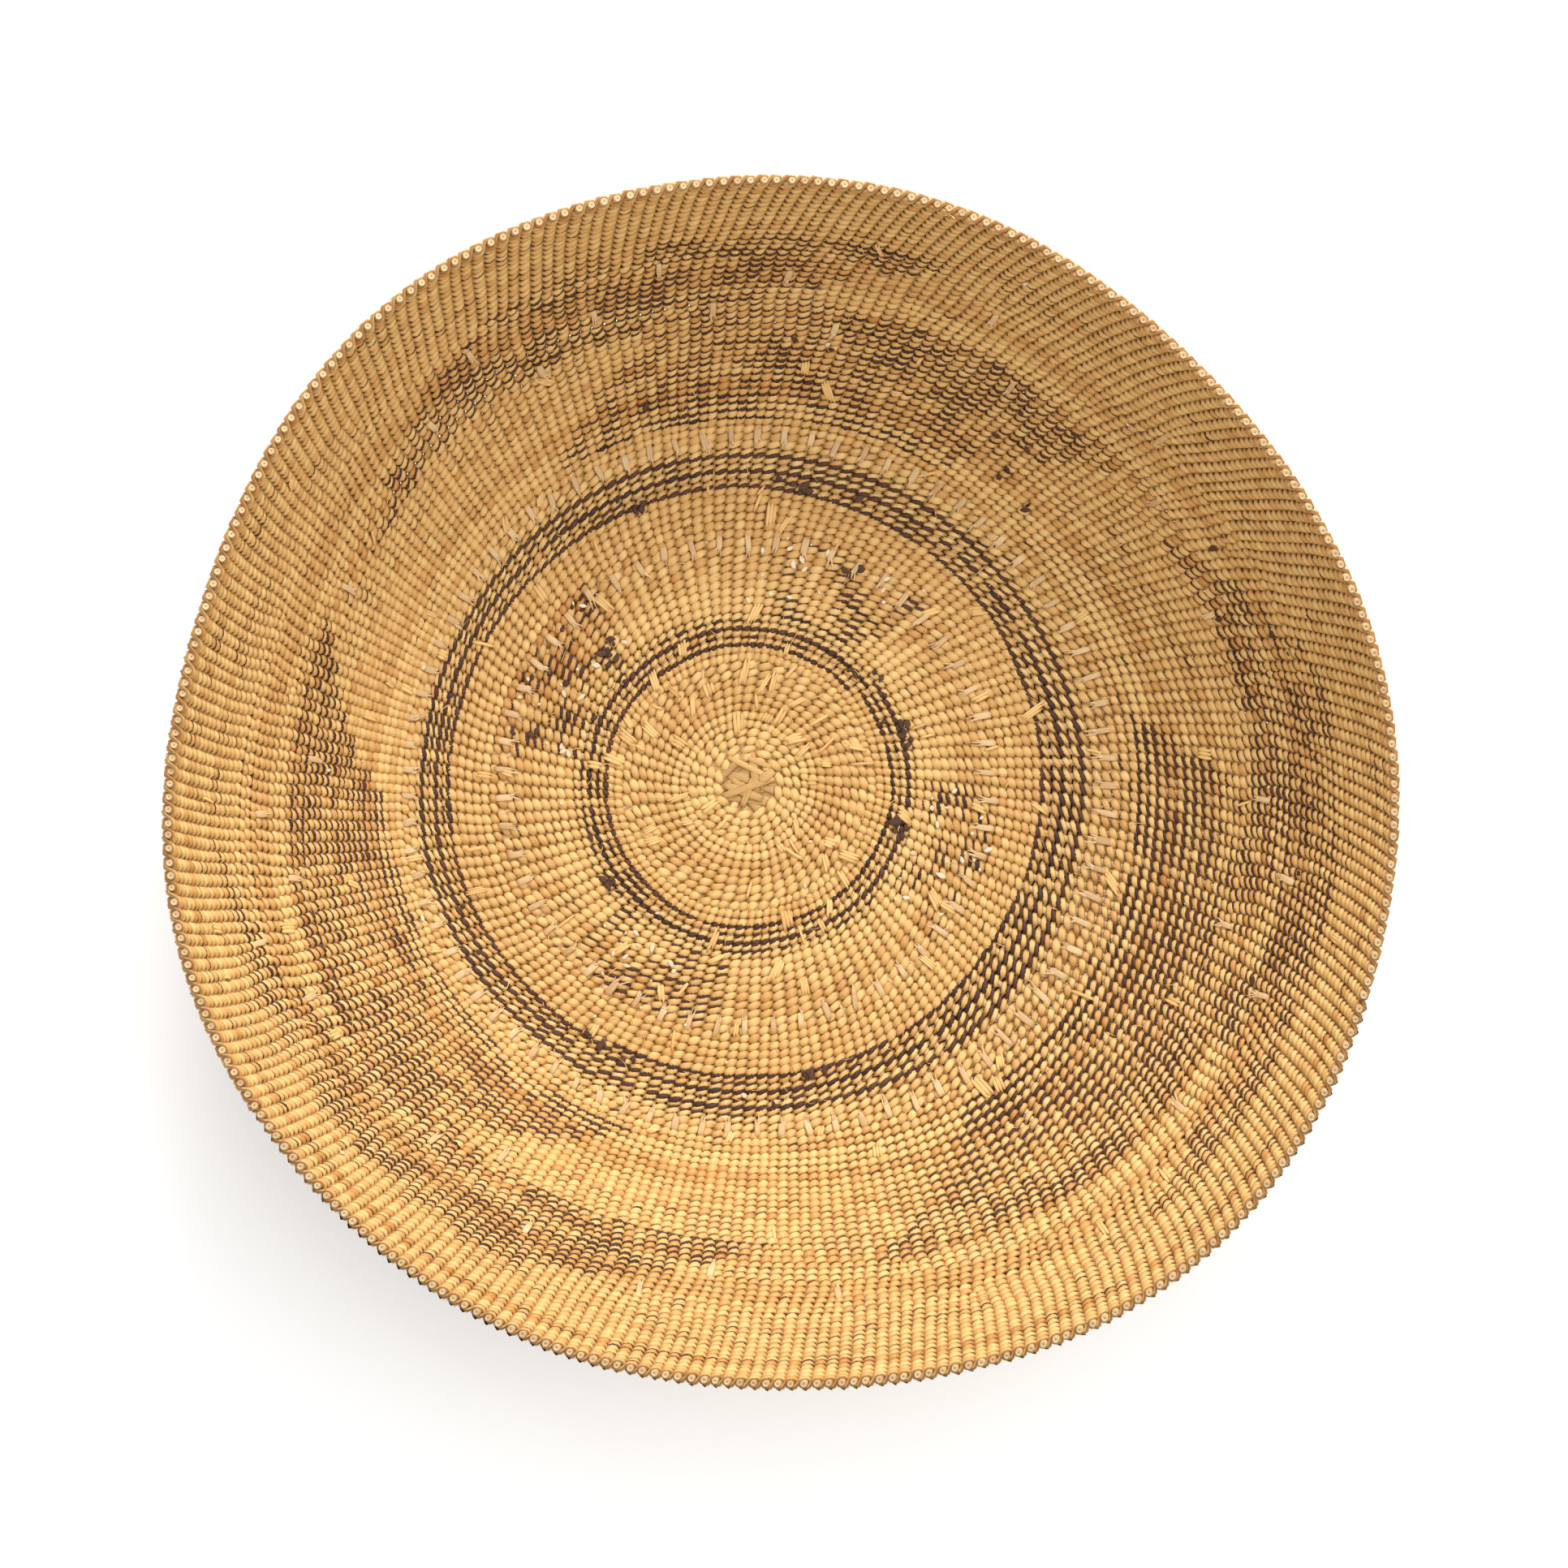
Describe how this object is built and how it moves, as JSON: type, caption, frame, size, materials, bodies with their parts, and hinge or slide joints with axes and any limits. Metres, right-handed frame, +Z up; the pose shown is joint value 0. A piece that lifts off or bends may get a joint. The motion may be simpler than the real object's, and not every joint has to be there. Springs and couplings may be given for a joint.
{
  "type": "winnowing basket",
  "caption": "Round twined winnowing basket: a flat-based, slightly out-of-round bowl of peeled shoots and split root, with dark rings and stepped motifs on the outside.",
  "frame": {"origin": "under the middle of the start, on the flat plane that the base rests on", "axes": "+Z up out of the bowl; +X is 10 degrees from the side where the mouth reaches furthest out; +Y completes the right-handed frame"},
  "size_m": [0.5043, 0.4952, 0.1202],
  "materials": {
    "warp_shoots": "peeled shoot, matte",
    "start_sticks": "peeled flat sticks, matte",
    "root_weft": "split root, satin",
    "dark_overlay": "fern stem, satin",
    "pale_overlay": "dried grass leaf, satin"
  },
  "bodies": {
    "root": {"dark_overlay_base_motifs": "dark_overlay", "dark_overlay_inner_ring": "dark_overlay", "dark_overlay_lower_motifs": "dark_overlay", "dark_overlay_outer_ring": "dark_overlay", "dark_overlay_rim_blocks": "dark_overlay", "dark_overlay_rim_line": "dark_overlay", "dark_overlay_upper_motifs": "dark_overlay", "pale_overlay_above_motifs": "pale_overlay", "pale_overlay_base_ground": "pale_overlay", "pale_overlay_base_inner": "pale_overlay", "pale_overlay_base_outer": "pale_overlay", "pale_overlay_below_motifs": "pale_overlay", "pale_overlay_between_motifs": "pale_overlay", "pale_overlay_lower_ground": "pale_overlay", "pale_overlay_rim_ground": "pale_overlay", "pale_overlay_upper_ground": "pale_overlay", "start_sticks_lower": "start_sticks", "start_sticks_upper": "start_sticks", "warp_shoots_fourth": "warp_shoots", "warp_shoots_rim": "warp_shoots", "warp_shoots_second": "warp_shoots", "warp_shoots_start": "warp_shoots", "warp_shoots_third": "warp_shoots", "weft_base_centre_inside": "root_weft", "weft_base_centre_outside": "root_weft", "weft_base_outer_inside": "root_weft", "weft_base_outer_outside": "root_weft", "weft_inner_ring_inside": "root_weft", "weft_inner_ring_outside": "root_weft", "weft_lower_wall_inside": "root_weft", "weft_lower_wall_outside": "root_weft", "weft_middle_wall_inside": "root_weft", "weft_middle_wall_outside": "root_weft", "weft_outer_ring_inside": "root_weft", "weft_outer_ring_outside": "root_weft", "weft_rim_binding_inside": "root_weft", "weft_rim_binding_outside": "root_weft", "weft_rim_rows_inside": "root_weft", "weft_rim_rows_outside": "root_weft", "weft_start_inside": "root_weft", "weft_start_outside": "root_weft", "weft_upper_wall_inside": "root_weft", "weft_upper_wall_outside": "root_weft"}
  },
  "joints": []
}
